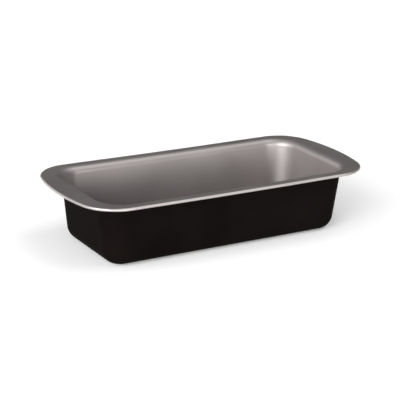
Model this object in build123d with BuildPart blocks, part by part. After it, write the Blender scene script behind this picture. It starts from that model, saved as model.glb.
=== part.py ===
from build123d import *
import os
from math import cos, radians, sin

# Loaf pan pressed from one sheet of coated steel, with its edge rolled round a wire. Millimetres.
# +X runs along the pan and +Z points up. The origin is the centre of the base's underside.

# Overall size, over the rolled edge
LENGTH = 300.0
WIDTH = 138.0
HEIGHT = 62.0

# Rim outline: straight long sides, ends that bow outwards, rounded corners
END_BOW = 12.8
RIM_CORNER_RADIUS = 35.5

# Body, measured on the underside of the outer coating where the walls would meet the base
BASE_LENGTH = 240.2
BASE_WIDTH = 98.4
BASE_CORNER_RADIUS = 16.3
DRAFT_ANGLE = 6.8
HEEL_RADIUS = 14.0
SHOULDER_RADIUS = 6.0

# Thickness of each layer of the sheet, from the outside of the pan inwards
OUTER_COAT = 0.15
STEEL_GAUGE = 0.6
INNER_COAT = 0.15
STEEL_DEPTH = OUTER_COAT
INNER_COAT_DEPTH = OUTER_COAT + STEEL_GAUGE
SHEET = OUTER_COAT + STEEL_GAUGE + INNER_COAT

# Rolled edge: the sheet turns out and down from the flange and back under itself, round the wire
CURL_RADIUS = 1.4
CURL_START = 90.0
CURL_SWEEP = -285.0
WIRE_RADIUS = 0.45
CURL_CENTRE = HEIGHT - CURL_RADIUS
CURL_BORE = CURL_RADIUS - SHEET

FLANGE_UNDERSIDE = HEIGHT - SHEET
# Height of the waste above the flange, which every layer is cut away from
WASTE = 5.0


def rim_outline(inset):
    """Flat face bounded by the rim outline, drawn in by inset."""
    corner_x = LENGTH / 2 - END_BOW
    corner_y = WIDTH / 2
    with BuildSketch() as outline:
        with BuildLine():
            Line((-corner_x, -corner_y), (corner_x, -corner_y))
            ThreePointArc((corner_x, -corner_y), (LENGTH / 2, 0), (corner_x, corner_y))
            Line((corner_x, corner_y), (-corner_x, corner_y))
            ThreePointArc((-corner_x, corner_y), (-LENGTH / 2, 0), (-corner_x, -corner_y))
        make_face()
        fillet(outline.vertices(), radius=RIM_CORNER_RADIUS)
        offset(amount=-inset, mode=Mode.REPLACE)
    return outline.sketch


def forming_block(depth):
    """Solid whose underside runs everywhere the same depth inside the pan's outer surface."""
    # A drafted wall moved in by depth meets a floor raised by depth this far inside the base outline
    inset = depth * (1 - sin(radians(DRAFT_ANGLE))) / cos(radians(DRAFT_ANGLE))
    floor_level = depth
    flange_level = FLANGE_UNDERSIDE + depth
    with BuildPart() as plug:
        with BuildSketch(Plane.XY.offset(floor_level)):
            RectangleRounded(
                BASE_LENGTH - 2 * inset,
                BASE_WIDTH - 2 * inset,
                BASE_CORNER_RADIUS - inset,
            )
        extrude(amount=flange_level - floor_level)
        walls = plug.faces().filter_by(Plane.XY, reverse=True)
        draft(walls, Plane.XY.offset(floor_level), -DRAFT_ANGLE)
        heel = plug.faces().sort_by(Axis.Z)[0].edges()
        fillet(heel, radius=HEEL_RADIUS - depth)
    with BuildPart() as block:
        add(plug.part)
        with BuildSketch(Plane.XY.offset(flange_level)):
            add(rim_outline(CURL_RADIUS))
        extrude(amount=WASTE)
        flange = block.faces().filter_by(Plane.XY).sort_by(Axis.Z)[1]
        shoulder = flange.inner_wires()[0].edges()
        fillet(shoulder, radius=SHOULDER_RADIUS + depth)
    return block.part


def curl_path():
    """Centre line of the rolled edge, one closed loop round the rim."""
    with BuildSketch(Plane.XY.offset(CURL_CENTRE)) as loop:
        add(rim_outline(CURL_RADIUS))
    return loop.sketch.wire()


def curl_plane(path):
    """Upright plane across the start of the path, its x axis pointing out of the pan."""
    along = path % 0
    return Plane(origin=path @ 0, x_dir=along.cross(Vector(0, 0, 1)), z_dir=-along)


def curl_band(inner_radius, outer_radius):
    """Section of one layer of the sheet where it is rolled, centred on the path."""
    with BuildSketch() as band:
        with BuildLine():
            inner = CenterArc((0, 0), inner_radius, CURL_START, CURL_SWEEP)
            outer = CenterArc((0, 0), outer_radius, CURL_START, CURL_SWEEP)
            Line(inner @ 0, outer @ 0)
            Line(inner @ 1, outer @ 1)
        make_face()
    return band.sketch


def make_outer_coating():
    """Black coating: the whole outside of the body and the hidden inner face of the curl."""
    path = curl_path()
    with BuildPart() as outer_coating:
        add(forming_block(0))
        add(forming_block(STEEL_DEPTH), mode=Mode.SUBTRACT)
        with BuildSketch(curl_plane(path)):
            add(curl_band(CURL_BORE, CURL_BORE + OUTER_COAT))
        sweep(path=path)
    outer_coating.part.label = "outer_coating"
    return outer_coating


def make_steel_pan():
    """Pressed steel sheet: base, drafted walls, flange and rolled edge in one piece."""
    path = curl_path()
    with BuildPart() as steel_pan:
        add(forming_block(STEEL_DEPTH))
        add(forming_block(INNER_COAT_DEPTH), mode=Mode.SUBTRACT)
        with BuildSketch(curl_plane(path)):
            add(curl_band(CURL_BORE + OUTER_COAT, CURL_RADIUS - INNER_COAT))
        sweep(path=path)
    steel_pan.part.label = "steel_pan"
    return steel_pan


def make_inner_coating():
    """Grey release coating: the inside, the top of the flange and the outside of the curl."""
    path = curl_path()
    with BuildPart() as inner_coating:
        add(forming_block(INNER_COAT_DEPTH))
        add(forming_block(SHEET), mode=Mode.SUBTRACT)
        with BuildSketch(curl_plane(path)):
            add(curl_band(CURL_RADIUS - INNER_COAT, CURL_RADIUS))
        sweep(path=path)
    inner_coating.part.label = "inner_coating"
    return inner_coating


def make_rim_wire():
    """Closed loop of round wire that the edge of the sheet is rolled round."""
    path = curl_path()
    with BuildPart() as rim_wire:
        with BuildSketch(curl_plane(path)):
            Circle(WIRE_RADIUS)
        sweep(path=path)
    rim_wire.part.label = "rim_wire"
    return rim_wire


os.makedirs("parts", exist_ok=True)

outer_coating = make_outer_coating()
steel_pan = make_steel_pan()
inner_coating = make_inner_coating()
rim_wire = make_rim_wire()

export_step(outer_coating.part, "parts/outer_coating.step")
export_step(steel_pan.part, "parts/steel_pan.step")
export_step(inner_coating.part, "parts/inner_coating.step")
export_step(rim_wire.part, "parts/rim_wire.step")
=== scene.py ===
import math
import bpy
from mathutils import Matrix, Vector, noise


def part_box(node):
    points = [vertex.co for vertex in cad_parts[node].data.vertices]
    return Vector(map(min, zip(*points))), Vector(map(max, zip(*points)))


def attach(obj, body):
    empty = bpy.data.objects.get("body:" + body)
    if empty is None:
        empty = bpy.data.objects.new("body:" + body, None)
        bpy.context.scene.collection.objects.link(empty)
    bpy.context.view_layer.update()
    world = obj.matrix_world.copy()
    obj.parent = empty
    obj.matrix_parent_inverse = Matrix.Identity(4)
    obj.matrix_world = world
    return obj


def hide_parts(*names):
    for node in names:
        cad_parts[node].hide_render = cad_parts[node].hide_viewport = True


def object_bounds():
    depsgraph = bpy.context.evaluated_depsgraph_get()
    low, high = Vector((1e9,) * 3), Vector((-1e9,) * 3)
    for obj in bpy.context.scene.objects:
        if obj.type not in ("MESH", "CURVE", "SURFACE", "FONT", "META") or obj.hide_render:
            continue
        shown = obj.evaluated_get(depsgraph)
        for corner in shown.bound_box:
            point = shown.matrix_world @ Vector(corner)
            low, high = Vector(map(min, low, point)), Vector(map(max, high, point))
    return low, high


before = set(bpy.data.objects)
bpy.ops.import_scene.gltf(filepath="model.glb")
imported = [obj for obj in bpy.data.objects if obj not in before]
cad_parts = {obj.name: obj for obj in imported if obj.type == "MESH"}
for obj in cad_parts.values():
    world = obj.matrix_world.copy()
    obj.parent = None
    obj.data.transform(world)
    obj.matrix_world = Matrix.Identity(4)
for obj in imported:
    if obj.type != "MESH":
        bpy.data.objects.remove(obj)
cad_low, cad_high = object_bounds()

# Loaf pan: visual pieces that replace the four CAD nodes. Metres.
# +X runs along the pan and +Z points up. The origin is the centre of the base's underside.
MM = 0.001

# ---------------------------------------------------------------- size, read from the CAD nodes
outer_low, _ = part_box("outer_coating")
steel_low, steel_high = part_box("steel_pan")
inner_low, inner_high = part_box("inner_coating")
wire_low, wire_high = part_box("rim_wire")

HALF_LENGTH = inner_high.x
HALF_WIDTH = inner_high.y
HEIGHT = inner_high.z
OUTER_COAT = steel_low.z - outer_low.z
INNER_COAT_DEPTH = inner_low.z - outer_low.z
INNER_COAT = inner_high.z - steel_high.z
SHEET = INNER_COAT_DEPTH + INNER_COAT
WIRE_RADIUS = (wire_high.z - wire_low.z) / 2
CURL_CENTRE = (wire_high.z + wire_low.z) / 2
CURL_RADIUS = HEIGHT - CURL_CENTRE
CURL_BORE = CURL_RADIUS - SHEET

# Shape of the pressing, as in the CAD source
DRAFT = math.radians(6.8)
BASE_HALF_LENGTH = 120.1 * MM
BASE_HALF_WIDTH = 49.2 * MM
BASE_CORNER = 16.3 * MM
HEEL = 14.0 * MM
SHOULDER = 6.0 * MM
END_BOW = 12.8 * MM
RIM_CORNER = 35.5 * MM
CURL_START = math.radians(90)
CURL_SWEEP = math.radians(285)

FLANGE_UNDERSIDE = HEIGHT - SHEET
SHOULDER_LEVEL = FLANGE_UNDERSIDE - SHOULDER
CORNER_X = BASE_HALF_LENGTH - BASE_CORNER
CORNER_Y = BASE_HALF_WIDTH - BASE_CORNER
# Distance out from the corner centres to the heel's and the shoulder's centre lines
HEEL_OUT = BASE_CORNER + HEEL * math.tan(DRAFT) - HEEL / math.cos(DRAFT)
SHOULDER_OUT = BASE_CORNER + SHOULDER_LEVEL * math.tan(DRAFT) + SHOULDER / math.cos(DRAFT)

# ---------------------------------------------------------------- the sheet as a grid of rings
# Number of mesh steps along each stretch of a ring and of the section through the sheet
STEPS = {"end": 18, "side": 44, "corner": 20, "floor": 10, "heel": 20, "wall": 12, "shoulder": 14,
         "flange": 6, "curl": 34, "wire": 16}
# Width of the extra step at each end of a straight stretch, which holds the bend beside it crisp
NARROW_STEP = 0.5 * MM
# Width of the flange along the long sides, which sets the narrow steps' share of it
FLANGE_WIDTH = 12 * MM
# Points that round to the same ten-thousandth of a millimetre become one
WELD_STEPS_PER_METRE = 1e7
SHARP_ANGLE = math.radians(50)


def spaced(length, steps):
    """Fractions from 0 to 1 along a straight stretch, with one narrow step at each end."""
    first = NARROW_STEP / length
    inner = [first + (1 - 2 * first) * i / steps for i in range(steps + 1)]
    return [0.0] + inner + [1.0]


def direction(angle):
    """Flat unit vector at this angle from +X."""
    return Vector((math.cos(angle), math.sin(angle)))


def ring_of_body():
    """(point on the rectangle of corner centres, outward direction), anticlockwise from the front right."""
    sides = (
        ((CORNER_X, -CORNER_Y), (CORNER_X, CORNER_Y), 0, STEPS["end"]),
        ((CORNER_X, CORNER_Y), (-CORNER_X, CORNER_Y), 90, STEPS["side"]),
        ((-CORNER_X, CORNER_Y), (-CORNER_X, -CORNER_Y), 180, STEPS["end"]),
        ((-CORNER_X, -CORNER_Y), (CORNER_X, -CORNER_Y), 270, STEPS["side"]),
    )
    points = []
    for start, stop, heading, steps in sides:
        a, b = Vector(start), Vector(stop)
        out = direction(math.radians(heading))
        for t in spaced((b - a).length, steps):
            points.append((a.lerp(b, t), out))
        for i in range(1, STEPS["corner"]):
            points.append((b, direction(math.radians(heading + 90 * i / STEPS["corner"]))))
    return points


def ring_of_rim():
    """(point, outward direction) round the curl's centre line, point for point with ring_of_body."""
    half_x = HALF_LENGTH - CURL_RADIUS
    half_y = HALF_WIDTH - CURL_RADIUS
    end_radius = (HALF_WIDTH ** 2 + END_BOW ** 2) / (2 * END_BOW) - CURL_RADIUS
    corner_radius = RIM_CORNER - CURL_RADIUS
    end_centre = half_x - end_radius
    corner_y = half_y - corner_radius
    corner_x = end_centre + math.sqrt((end_radius - corner_radius) ** 2 - corner_y ** 2)
    end_angle = math.atan2(corner_y, corner_x - end_centre)
    corner_sweep = math.pi / 2 - end_angle
    half = []
    for t in spaced(2 * CORNER_Y, STEPS["end"]):
        out = direction(end_angle * (2 * t - 1))
        half.append((Vector((end_centre, 0)) + out * end_radius, out))
    for i in range(1, STEPS["corner"]):
        out = direction(end_angle + corner_sweep * i / STEPS["corner"])
        half.append((Vector((corner_x, corner_y)) + out * corner_radius, out))
    for t in spaced(2 * CORNER_X, STEPS["side"]):
        half.append((Vector((corner_x * (1 - 2 * t), half_y)), Vector((0, 1))))
    for i in range(1, STEPS["corner"]):
        out = direction(math.pi / 2 + corner_sweep * i / STEPS["corner"])
        half.append((Vector((-corner_x, corner_y)) + out * corner_radius, out))
    return half + [(-p, -n) for p, n in half]


def lifted(points, level):
    """Flat points raised to this level."""
    return [p.to_3d() + Vector((0, 0, level)) for p in points]


def moved_out(ring, out):
    """The ring's points, each moved this far in its outward direction."""
    return [p + n * out for p, n in ring]


def sheet_rows(depth, body, rim):
    """Rings of points from the middle of the floor out to the cut edge, on the surface at this depth."""
    rows = []
    reach = CORNER_X - CORNER_Y
    floor_edge = moved_out(body, HEEL_OUT)
    spine = [Vector((max(-reach, min(reach, p.x)), 0)) for p in floor_edge]
    for t in spaced(CORNER_Y + HEEL_OUT, STEPS["floor"])[:-1]:
        rows.append(lifted([s.lerp(p, t) for s, p in zip(spine, floor_edge)], depth))
    radius = HEEL - depth
    for i in range(STEPS["heel"] + 1):
        angle = (math.pi / 2 - DRAFT) * i / STEPS["heel"]
        out = HEEL_OUT + radius * math.sin(angle)
        level = HEEL - radius * math.cos(angle)
        rows.append(lifted(moved_out(body, out), level))
    heel_top, heel_out = level, out
    radius = SHOULDER + depth
    wall_out = SHOULDER_OUT - radius * math.cos(DRAFT)
    wall_top = SHOULDER_LEVEL + radius * math.sin(DRAFT)
    for t in spaced(wall_top - heel_top, STEPS["wall"])[1:-1]:
        out = heel_out + (wall_out - heel_out) * t
        level = heel_top + (wall_top - heel_top) * t
        rows.append(lifted(moved_out(body, out), level))
    for i in range(STEPS["shoulder"] + 1):
        angle = DRAFT + (math.pi / 2 - DRAFT) * i / STEPS["shoulder"]
        out = SHOULDER_OUT - radius * math.cos(angle)
        level = SHOULDER_LEVEL + radius * math.sin(angle)
        rows.append(lifted(moved_out(body, out), level))
    flange_edge = moved_out(body, SHOULDER_OUT)
    for t in spaced(FLANGE_WIDTH, STEPS["flange"])[1:-1]:
        across = [p.lerp(q, t) for p, (q, _) in zip(flange_edge, rim)]
        rows.append(lifted(across, FLANGE_UNDERSIDE + depth))
    radius = CURL_BORE + depth
    for i in range(STEPS["curl"] + 1):
        angle = CURL_START - CURL_SWEEP * i / STEPS["curl"]
        level = CURL_CENTRE + radius * math.sin(angle)
        rows.append(lifted(moved_out(rim, radius * math.cos(angle)), level))
    return rows


# ---------------------------------------------------------------- small unevenness of a real pressing
BASE_DOME = 0.35 * MM
WALL_SPRING = 0.35 * MM
FLANGE_WAVE = 0.16 * MM
FLANGE_WAVE_LENGTH = 55 * MM
BEAD_WAVE = 0.05 * MM
BEAD_WAVE_LENGTH = 14 * MM
END_LIFT = 0.4 * MM
# Distances from the middle of the pan where the ends' lift starts and where it is complete
LIFT_FROM = 20 * MM
LIFT_TO = 130 * MM


def smooth(low, high, value):
    """0 up to low and 1 from high, with an even rise between."""
    t = max(0.0, min(1.0, (value - low) / (high - low)))
    return t * t * (3 - 2 * t)


def ripple(p, wave_length):
    """Smooth noise from 0 to 1 over the plan of the pan."""
    return 0.5 + 0.5 * noise.noise(Vector((p.x, p.y, 0)) / wave_length)


def settled(p):
    """Where a point of the perfect shape ends up once the sheet has sprung back from the press."""
    q = p.copy()
    dome_x = max(0.0, 1 - (p.x / (CORNER_X + HEEL_OUT)) ** 2)
    dome_y = max(0.0, 1 - (p.y / (CORNER_Y + HEEL_OUT)) ** 2)
    if p.z < HEEL:
        q.z += BASE_DOME * dome_x * dome_y
    along = max(0.0, 1 - (p.x / CORNER_X) ** 2)
    rise = math.sin(math.pi * max(0.0, min(1.0, p.z / FLANGE_UNDERSIDE)))
    outside = smooth(CORNER_Y + HEEL_OUT, BASE_HALF_WIDTH, abs(p.y))
    q.y -= math.copysign(WALL_SPRING * along * rise * outside, p.y)
    q.z += END_LIFT * smooth(LIFT_FROM, LIFT_TO, abs(p.x)) * smooth(HEEL, CURL_CENTRE, p.z)
    past_corner = max(abs(p.x) - CORNER_X, abs(p.y) - CORNER_Y)
    flange = smooth(SHOULDER_LEVEL, CURL_CENTRE, p.z) * smooth(SHOULDER_OUT, RIM_CORNER, past_corner)
    q.z -= FLANGE_WAVE * flange * ripple(p, FLANGE_WAVE_LENGTH)
    q.z -= BEAD_WAVE * flange * ripple(p, BEAD_WAVE_LENGTH)
    return q


def add_piece(name, verts, faces):
    """A smooth-shaded mesh object in the scene."""
    mesh = bpy.data.meshes.new(name)
    mesh.from_pydata([v[:] for v in verts], [], faces)
    mesh.polygons.foreach_set("use_smooth", [True] * len(mesh.polygons))
    piece = bpy.data.objects.new(name, mesh)
    bpy.context.scene.collection.objects.link(piece)
    return piece


def distances(points):
    """Distance from the first point to each point in turn, along the line through them."""
    total = [0.0]
    for p, q in zip(points, points[1:]):
        total.append(total[-1] + (q - p).length)
    return total


def sheet_layer(name, low_depth, high_depth):
    """One closed layer of the sheet between two depths, with UVs in metres and its rolled edge marked."""
    body, rim = ring_of_body(), ring_of_rim()
    top = sheet_rows(high_depth, body, rim)
    under = sheet_rows(low_depth, body, rim)
    rows = top + under[::-1]
    count = len(body)
    curl_rows = STEPS["curl"] + 1
    verts, index, on_curl, ids = [], {}, [], []
    for i, row in enumerate(rows):
        line = []
        rolled = len(top) - curl_rows <= i < len(top) + curl_rows
        for p in row:
            key = tuple(round(c * WELD_STEPS_PER_METRE) for c in p)
            if key not in index:
                index[key] = len(verts)
                verts.append(settled(p))
                on_curl.append(1.0 if rolled else 0.0)
            line.append(index[key])
        ids.append(line)
    run = distances([p for p, _ in rim] + [rim[0][0]])
    climb = distances([row[0] for row in rows])
    faces, uvs = [], []
    for i in range(len(rows) - 1):
        for j in range(count):
            k = (j + 1) % count
            corners = ((ids[i][j], run[j], climb[i]), (ids[i + 1][j], run[j], climb[i + 1]),
                       (ids[i + 1][k], run[j + 1], climb[i + 1]), (ids[i][k], run[j + 1], climb[i]))
            face, seen = [], set()
            for corner in corners:
                if corner[0] not in seen:
                    seen.add(corner[0])
                    face.append(corner)
            if len(face) > 2:
                faces.append([c[0] for c in face])
                uvs += [(c[1], c[2]) for c in face]
    piece = add_piece(name, verts, faces)
    mesh = piece.data
    layer = mesh.uv_layers.new(name="sheet")
    for loop, uv in zip(layer.data, uvs):
        loop.uv = uv
    mesh.attributes.new("rolled_edge", "FLOAT", "POINT").data.foreach_set("value", on_curl)
    mesh.set_sharp_from_angle(angle=SHARP_ANGLE)
    mesh.validate()
    return piece


def wire_loop(name):
    """Closed round wire lying in the curl."""
    rim = ring_of_rim()
    count, turns = len(rim), STEPS["wire"]
    verts = []
    for i in range(turns):
        angle = 2 * math.pi * i / turns
        ring = moved_out(rim, WIRE_RADIUS * math.cos(angle))
        verts += [settled(p) for p in lifted(ring, CURL_CENTRE + WIRE_RADIUS * math.sin(angle))]
    faces = []
    for i in range(turns):
        a, b = i * count, ((i + 1) % turns) * count
        for j in range(count):
            k = (j + 1) % count
            faces.append((a + j, a + k, b + k, b + j))
    return add_piece(name, verts, faces)


inner_coat = sheet_layer("grey_inner_coat", INNER_COAT_DEPTH, SHEET)
outer_coat = sheet_layer("black_outer_coat", 0.0, OUTER_COAT)
steel_sheet = sheet_layer("pressed_steel_sheet", OUTER_COAT, INNER_COAT_DEPTH)
edge_wire = wire_loop("edge_wire")

# ---------------------------------------------------------------- materials
# Colours, as linear red, green and blue
GREY_DARK = (0.312, 0.287, 0.282)
GREY_LIGHT = (0.361, 0.333, 0.326)
# Lighter grey on the rolled bead: a painted highlight, not the coating's own colour
GREY_BEAD_HIGHLIGHT = (0.45, 0.418, 0.410)
BLACK_DARK = (0.0040, 0.0030, 0.0028)
BLACK_LIGHT = (0.0060, 0.0046, 0.0042)
STEEL_DARK = (0.42, 0.40, 0.38)
STEEL_LIGHT = (0.58, 0.56, 0.54)
ZINC_DARK = (0.40, 0.41, 0.42)
ZINC_LIGHT = (0.55, 0.56, 0.57)
PAPER_DARK = (0.92, 0.92, 0.92)
PAPER_LIGHT = (0.94, 0.94, 0.94)

# How much lower the grey coating's roughness is on the bead
BEAD_POLISH = 0.1
# The black coating's specular level, where an ordinary coating has 0.5. It is set this low only to keep the
# coating as dark as the photo shows it under this light, so in other light it looks flatter than a real one.
BLACK_SPECULAR = 0.003
# Depth of the relief in each surface
FINE_RELIEF = 0.012 * MM
COARSE_RELIEF = 0.02 * MM
PAPER_RELIEF = 0.1 * MM
# Noise mostly lies in this range, over which it is spread between two colours or two roughnesses
NOISE_LOW = 0.3
NOISE_HIGH = 0.7


class Nodes:
    """Short-hand for building one material's node tree. Noise scales are in cells per metre."""

    def __init__(self, name):
        self.material = bpy.data.materials.new(name)
        self.material.use_nodes = True
        self.tree = self.material.node_tree
        self.tree.nodes.clear()
        out = self.tree.nodes.new("ShaderNodeOutputMaterial")
        self.shader = self.tree.nodes.new("ShaderNodeBsdfPrincipled")
        self.link(self.shader.outputs["BSDF"], out.inputs["Surface"])
        self.place = self.tree.nodes.new("ShaderNodeTexCoord")

    def link(self, a, b):
        self.tree.links.new(a, b)

    def set(self, **values):
        for key, value in values.items():
            self.shader.inputs[key.replace("_", " ")].default_value = value

    def noise(self, scale, detail, stretch=(1, 1, 1)):
        mapping = self.tree.nodes.new("ShaderNodeMapping")
        mapping.inputs["Scale"].default_value = stretch
        self.link(self.place.outputs["Object"], mapping.inputs["Vector"])
        node = self.tree.nodes.new("ShaderNodeTexNoise")
        node.inputs["Scale"].default_value = scale
        node.inputs["Detail"].default_value = detail
        self.link(mapping.outputs["Vector"], node.inputs["Vector"])
        return node.outputs["Fac"]

    def attribute(self, name):
        """A number stored on the mesh's points."""
        node = self.tree.nodes.new("ShaderNodeAttribute")
        node.attribute_name = name
        return node.outputs["Fac"]

    def mix(self, fac, color, over):
        """The colour, with another colour laid over it where fac is 1."""
        node = self.tree.nodes.new("ShaderNodeMix")
        node.data_type = "RGBA"
        self.link(fac, node.inputs["Factor"])
        self.link(color, node.inputs["A"])
        node.inputs["B"].default_value = (*over, 1)
        return node.outputs["Result"]

    def between(self, fac, low_value, high_value, low=NOISE_LOW, high=NOISE_HIGH):
        """A number that runs from low_value to high_value as fac runs from low to high."""
        node = self.tree.nodes.new("ShaderNodeMapRange")
        node.inputs["From Min"].default_value = low
        node.inputs["From Max"].default_value = high
        node.inputs["To Min"].default_value = low_value
        node.inputs["To Max"].default_value = high_value
        self.link(fac, node.inputs["Value"])
        return node.outputs["Result"]

    def ramp(self, fac, low_color, high_color, low=NOISE_LOW, high=NOISE_HIGH):
        """A colour that runs from low_color to high_color as fac runs from low to high."""
        node = self.tree.nodes.new("ShaderNodeValToRGB")
        for element, position, color in zip(node.color_ramp.elements, (low, high), (low_color, high_color)):
            element.position = position
            element.color = (*color, 1)
        self.link(fac, node.inputs["Fac"])
        return node.outputs["Color"]

    def sum(self, a, b, share):
        """a plus this share of b."""
        node = self.tree.nodes.new("ShaderNodeMath")
        node.operation = "MULTIPLY_ADD"
        node.inputs[1].default_value = share
        self.link(b, node.inputs[0])
        self.link(a, node.inputs[2])
        return node.outputs["Value"]

    def bump(self, height, distance, normal=None):
        node = self.tree.nodes.new("ShaderNodeBump")
        node.inputs["Distance"].default_value = distance
        node.inputs["Strength"].default_value = 1.0
        self.link(height, node.inputs["Height"])
        if normal is not None:
            self.link(normal, node.inputs["Normal"])
        return node.outputs["Normal"]

    def finish(self, color, roughness, normal):
        self.link(color, self.shader.inputs["Base Color"])
        self.link(roughness, self.shader.inputs["Roughness"])
        self.link(normal, self.shader.inputs["Normal"])
        return self.material


def grey_release_coat():
    """Satin warm-grey coating with fine metal flake, slight orange peel and faint rolling lines, with a
    painted highlight in lighter grey on the rolled bead.
    """
    nodes = Nodes("grey_release_coat")
    nodes.set(Metallic=0.8, IOR=1.5)
    cloud = nodes.noise(22, detail=3)
    flake = nodes.noise(1400, detail=1)
    color = nodes.ramp(nodes.sum(cloud, flake, share=0.35), GREY_DARK, GREY_LIGHT, low=0.45, high=0.95)
    lines = nodes.noise(120, detail=2, stretch=(0.06, 1, 1))
    roughness = nodes.between(nodes.sum(cloud, lines, share=0.6), 0.41, 0.49, low=0.5, high=1.1)
    edge = nodes.attribute("rolled_edge")
    # Painted highlight: the rolled bead is drawn in a lighter grey than the rest of the coating
    color = nodes.mix(edge, color, GREY_BEAD_HIGHLIGHT)
    roughness = nodes.sum(roughness, edge, share=-BEAD_POLISH)
    peel = nodes.noise(620, detail=2)
    normal = nodes.bump(peel, FINE_RELIEF)
    normal = nodes.bump(lines, FINE_RELIEF, normal=normal)
    return nodes.finish(color, roughness, normal)


def black_coat():
    """Black coating, very slightly warm and almost without reflection, with fine orange peel."""
    nodes = Nodes("black_coat")
    nodes.set(Metallic=0.0, IOR=1.45, Specular_IOR_Level=BLACK_SPECULAR)
    cloud = nodes.noise(18, detail=3)
    color = nodes.ramp(cloud, BLACK_DARK, BLACK_LIGHT)
    peel = nodes.noise(520, detail=2)
    roughness = nodes.between(cloud, 0.36, 0.46)
    return nodes.finish(color, roughness, nodes.bump(peel, COARSE_RELIEF))


def bare_steel():
    """Cut edge of the sheet: bright sheared steel with fine lines through its thickness."""
    nodes = Nodes("bare_steel")
    nodes.set(Metallic=1.0)
    lines = nodes.noise(900, detail=2, stretch=(1, 1, 0.1))
    color = nodes.ramp(lines, STEEL_DARK, STEEL_LIGHT)
    roughness = nodes.between(lines, 0.28, 0.5)
    return nodes.finish(color, roughness, nodes.bump(lines, COARSE_RELIEF))


def zinc_wire():
    """Galvanised steel wire: dull zinc with a soft mottle."""
    nodes = Nodes("zinc_wire")
    nodes.set(Metallic=1.0)
    mottle = nodes.noise(700, detail=3)
    color = nodes.ramp(mottle, ZINC_DARK, ZINC_LIGHT)
    roughness = nodes.between(mottle, 0.35, 0.55)
    return nodes.finish(color, roughness, nodes.bump(mottle, COARSE_RELIEF))


for piece, material, node, slot in (
    (inner_coat, grey_release_coat(), "inner_coating", "grey_release_coat"),
    (outer_coat, black_coat(), "outer_coating", "black_coat"),
    (steel_sheet, bare_steel(), "steel_pan", "bare_steel"),
    (edge_wire, zinc_wire(), "rim_wire", "wire_steel"),
):
    piece.data.materials.append(material)
    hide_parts(node)
    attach(piece, "root")

# ---------------------------------------------------------------- floor, light and camera
# Camera: it looks YAW to the right of +Y and PITCH down, tilted by ROLL, from DISTANCE metres off AIM
YAW = math.radians(31.3)
PITCH = math.radians(18.65)
ROLL = math.radians(1.8)
AIM = Vector((1.4, 7.2, 29.6)) * MM
DISTANCE = 1.327
SENSOR = 36.0
LENS = 127.6

FLOOR_REACH = 6.0
FLOOR_GAP = 0.05 * MM
FLOOR_GLOW = 0.15


def floor():
    """Pale paper floor, which glows a little so that it stays nearly white in the picture."""
    mesh = bpy.data.meshes.new("studio_floor")
    square = [(x * FLOOR_REACH, y * FLOOR_REACH, 0) for x, y in ((-1, -1), (1, -1), (1, 1), (-1, 1))]
    mesh.from_pydata(square, [], [(0, 1, 2, 3)])
    piece = bpy.data.objects.new("studio_floor", mesh)
    piece.location.z = cad_low.z - FLOOR_GAP
    nodes = Nodes("studio_floor")
    nodes.set(Specular_IOR_Level=0.0, Emission_Strength=FLOOR_GLOW)
    paper = nodes.noise(3, detail=4)
    color = nodes.ramp(paper, PAPER_DARK, PAPER_LIGHT)
    nodes.link(color, nodes.shader.inputs["Emission Color"])
    nodes.finish(color, nodes.between(paper, 0.9, 1.0), nodes.bump(paper, PAPER_RELIEF))
    mesh.materials.append(nodes.material)
    bpy.context.scene.collection.objects.link(piece)


floor()

# Light tent round the set: one soft glow for each panel, as (azimuth, elevation, half width, brightness).
# Azimuth is counted in degrees from straight behind the pan, turning to the left of the picture.
TENT_FACING = math.radians(90) - YAW
TENT_FILL = 0.08
TENT_PANELS = (
    (213, -5, 33, 9.2),
    (155, 16, 36, 7.6),
    (112, 22, 30, 1.9),
    (266, 61, 33, 2.3),
    (62, 14, 32, 1.2),
    (111, 65, 37, 0.6),
)


def light_tent():
    """World light: an even fill plus the panels, each brightest in the middle and gone at its half width."""
    world = bpy.data.worlds.new("light_tent")
    world.use_nodes = True
    tree = world.node_tree
    place = tree.nodes.new("ShaderNodeTexCoord")
    total = None
    for azimuth, elevation, half_width, brightness in TENT_PANELS:
        turn = TENT_FACING + math.radians(azimuth)
        rise = math.radians(elevation)
        toward = tree.nodes.new("ShaderNodeVectorMath")
        toward.operation = "DOT_PRODUCT"
        toward.inputs[1].default_value = (
            math.cos(turn) * math.cos(rise), math.sin(turn) * math.cos(rise), math.sin(rise)
        )
        tree.links.new(place.outputs["Generated"], toward.inputs[0])
        glow = tree.nodes.new("ShaderNodeMapRange")
        glow.interpolation_type = "SMOOTHSTEP"
        glow.inputs["From Min"].default_value = math.cos(math.radians(half_width))
        glow.inputs["To Max"].default_value = brightness
        tree.links.new(toward.outputs["Value"], glow.inputs["Value"])
        add = tree.nodes.new("ShaderNodeMath")
        add.inputs[0].default_value = TENT_FILL
        if total is not None:
            tree.links.new(total, add.inputs[0])
        tree.links.new(glow.outputs["Result"], add.inputs[1])
        total = add.outputs["Value"]
    background = tree.nodes["Background"]
    background.inputs["Color"].default_value = (1, 1, 1, 1)
    tree.links.new(total, background.inputs["Strength"])
    bpy.context.scene.world = world


light_tent()
bpy.context.scene.view_settings.view_transform = "Standard"

forward = Vector((math.sin(YAW) * math.cos(PITCH), math.cos(YAW) * math.cos(PITCH), -math.sin(PITCH)))
right = Vector((math.cos(YAW), -math.sin(YAW), 0))
up = right.cross(forward)
tilted_right = right * math.cos(ROLL) + up * math.sin(ROLL)
tilted_up = up * math.cos(ROLL) - right * math.sin(ROLL)
lens = bpy.data.cameras.new("camera")
lens.sensor_width = SENSOR
lens.lens = LENS
camera = bpy.data.objects.new("camera", lens)
turned = Matrix((tilted_right, tilted_up, -forward)).transposed().to_4x4()
camera.matrix_world = Matrix.Translation(AIM - forward * DISTANCE) @ turned
bpy.context.scene.collection.objects.link(camera)
bpy.context.scene.camera = camera
